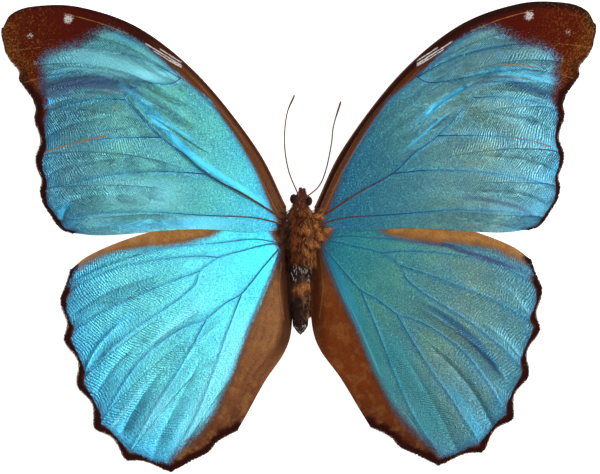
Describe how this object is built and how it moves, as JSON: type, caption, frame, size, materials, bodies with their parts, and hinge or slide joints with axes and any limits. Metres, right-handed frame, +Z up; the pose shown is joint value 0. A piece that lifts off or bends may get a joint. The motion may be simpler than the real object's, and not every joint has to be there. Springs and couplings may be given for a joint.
{
  "type": "blue morpho butterfly display model",
  "caption": "Life-size blue morpho butterfly with its wings spread, seen as a set specimen, held by one rod on an oval display base.",
  "frame": {"origin": "centre of the flat underside of the oval stand base, which rests on the table", "axes": "+Y towards the butterfly's head, +X to the animal's own right (the right wings), +Z up"},
  "size_m": [0.1396, 0.1105, 0.0386],
  "materials": {
    "wing_scales": "iridescent blue scales over a thin dry membrane, brown at the edges and below",
    "body_hair": "short brown hair-like scales",
    "eyes": "glossy dark compound eyes",
    "horn": "dull red-brown horny skin",
    "stand_base": "matte charcoal",
    "stand_rod": "satin"
  },
  "bodies": {
    "root": {"forewing_left": "wing_scales", "forewing_right": "wing_scales", "hindwing_left": "wing_scales", "hindwing_right": "wing_scales", "head": "body_hair", "prothorax": "body_hair", "thorax": "body_hair", "abdomen": "body_hair", "palp_left": "body_hair", "palp_right": "body_hair", "eye_left": "eyes", "eye_right": "eyes", "antenna_left": "horn", "antenna_right": "horn", "proboscis": "horn", "foreleg_left": "horn", "foreleg_right": "horn", "midleg_left": "horn", "midleg_right": "horn", "hindleg_left": "horn", "hindleg_right": "horn", "stand_base": "stand_base", "stand_rod": "stand_rod"}
  },
  "joints": []
}
